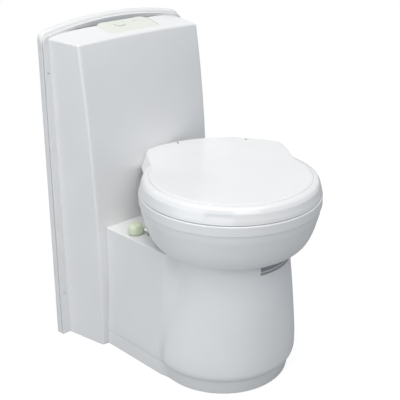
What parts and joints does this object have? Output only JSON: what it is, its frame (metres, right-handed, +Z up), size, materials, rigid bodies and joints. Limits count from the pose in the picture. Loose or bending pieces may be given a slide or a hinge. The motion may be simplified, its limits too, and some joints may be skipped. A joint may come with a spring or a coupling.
{
  "type": "urine-diverting toilet",
  "caption": "White urine-diverting toilet with a lidded swivelling bowl on a tapered pedestal, green valve knob, and a service column on a wall plate.",
  "frame": {"origin": "on the floor, under the bowl's swivel axis", "axes": "+Z up, +Y back towards the wall, -Y front, +X to the viewer's right when facing the toilet"},
  "size_m": [0.4386, 0.5638, 0.7465],
  "materials": {
    "white": "smooth gloss white",
    "cream": "satin off-white",
    "grey": "satin grey",
    "dark": "matt black",
    "green": "sage green",
    "pale_green": "pale green",
    "steel": "brushed",
    "board": "circuit board green",
    "carbon": "granular black",
    "rubber": "matt dark grey"
  },
  "bodies": {
    "frame": {"wall_plate": "white", "column_housing": "white", "control_panel": "pale_green", "level_lens": "green", "control_board": "board", "fan_frame": "dark", "fan_lead": "dark", "filter_tray": "grey", "carbon_filter": "carbon", "pedestal_shell": "white", "plinth": "white", "floor_pan": "grey", "inlet_liner": "grey", "bearing_race": "grey", "duct_collar": "cream", "urine_trough": "grey", "urine_hose": "cream", "blade_guide": "cream", "outlet_duct": "cream", "lip_seal": "rubber", "tray_rail_left": "steel", "tray_rail_right": "steel", "flange_screw_1": "steel", "flange_screw_2": "steel", "flange_screw_3": "steel", "flange_screw_4": "steel"},
    "bowl": {"bowl_outer": "white", "bowl_liner": "white", "bowl_chute": "white", "urine_diverter": "white", "urine_strainer": "steel", "swivel_ring": "grey", "hinge_post_left": "white", "hinge_post_right": "white", "hinge_pin_left": "steel", "hinge_pin_right": "steel"},
    "seat": {"seat": "white", "seat_bumper_1": "rubber", "seat_bumper_2": "rubber", "seat_bumper_3": "rubber", "seat_bumper_4": "rubber"},
    "lid": {"lid": "white", "lid_bumper_1": "rubber", "lid_bumper_2": "rubber"},
    "lever": {"valve_lever": "steel", "lever_knob": "green"},
    "blade": {"valve_blade": "steel"},
    "tray": {"slide_tray": "grey", "solids_bin": "dark", "urine_canister": "cream", "tray_handle": "steel"},
    "cap": {"canister_cap": "green"},
    "fan": {"fan_rotor": "dark"},
    "button": {"fan_button": "pale_green"}
  },
  "joints": [
    {"name": "bowl_swivel", "type": "hinge", "parent": "frame", "child": "bowl", "pos_m": [0, 0, 0.295], "axis": [0, 0, 1], "range_deg": [-54.5, 125.5]},
    {"name": "seat_hinge", "type": "hinge", "parent": "bowl", "child": "seat", "pos_m": [0.08014, 0.11235, 0.44], "axis": [-0.8141, 0.5807, 0], "range_deg": [0, 95]},
    {"name": "lid_hinge", "type": "hinge", "parent": "seat", "child": "lid", "pos_m": [0.08014, 0.11235, 0.44], "axis": [0.8141, -0.5807, 0], "range_deg": [-95, 0]},
    {"name": "lever_turn", "type": "hinge", "parent": "frame", "child": "lever", "pos_m": [0, 0, 0.265], "axis": [0, 0, -1], "range_deg": [0, 60]},
    {"name": "blade_slide", "type": "slide", "parent": "frame", "child": "blade", "axis": [0, 1, 0], "range_m": [0, 0.1055]},
    {"name": "tray_slide", "type": "slide", "parent": "frame", "child": "tray", "axis": [0, 1, 0], "range_m": [0, 0.42]},
    {"name": "cap_turn", "type": "hinge", "parent": "tray", "child": "cap", "pos_m": [0.075, 0.215, 0.224], "axis": [0, 0, 1], "continuous": true},
    {"name": "fan_spin", "type": "hinge", "parent": "frame", "child": "fan", "pos_m": [0, 0.34, 0.52], "axis": [0, 1, 0], "continuous": true},
    {"name": "button_press", "type": "slide", "parent": "frame", "child": "button", "axis": [0, 0.2707, -0.9627], "range_m": [0, 0.002], "stiffness_N_per_m": 400, "springref_m": -0.0005}
  ],
  "couplings": [
    {"joint": "blade_slide", "follows": "lever_turn", "m_per_rad": 0.10027}
  ]
}
